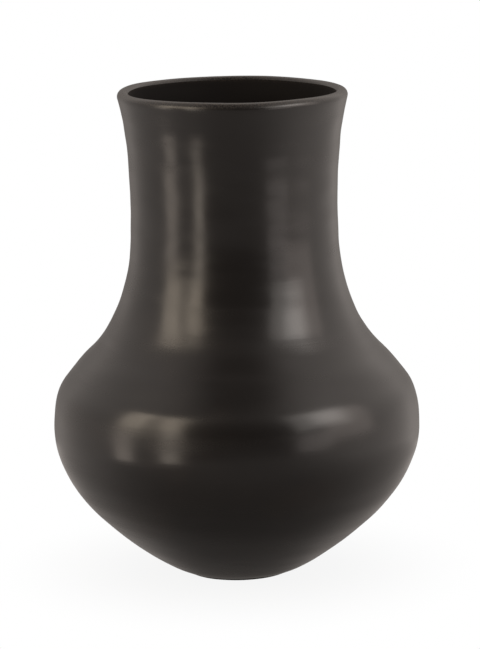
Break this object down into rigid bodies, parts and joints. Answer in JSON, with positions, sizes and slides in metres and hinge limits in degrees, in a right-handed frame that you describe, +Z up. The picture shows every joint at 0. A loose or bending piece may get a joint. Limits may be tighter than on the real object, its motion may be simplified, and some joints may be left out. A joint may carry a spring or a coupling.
{
  "type": "pottery jar",
  "caption": "Coil-built black pottery jar with a wide round belly, tall neck, slightly turned-out lip and small flat base; holds water, dry goods or stems.",
  "frame": {"origin": "centre of the flat base, on the surface that the jar stands on", "axes": "+Z up along the axis of the jar, towards the mouth; X and Y lie in the base plane, and the form is the same all round"},
  "size_m": [0.211, 0.211, 0.28],
  "materials": {
    "base_clay": "smoke-blackened clay, matte, worn where it stands",
    "scraped_clay": "smoke-blackened clay, scraped, matte",
    "burnished_slip": "black slip rubbed with a smooth stone to a satin gloss"
  },
  "bodies": {
    "root": {"moulded_base": "base_clay", "coil_01": "scraped_clay", "coil_02": "scraped_clay", "coil_03": "scraped_clay", "coil_04": "scraped_clay", "coil_05": "scraped_clay", "coil_06": "scraped_clay", "coil_07": "scraped_clay", "coil_08": "scraped_clay", "coil_09": "scraped_clay", "coil_10": "scraped_clay", "coil_11": "scraped_clay", "coil_12": "scraped_clay", "coil_13": "scraped_clay", "coil_14": "scraped_clay", "coil_15": "scraped_clay", "rim_coil": "scraped_clay", "polished_slip": "burnished_slip"}
  },
  "joints": []
}
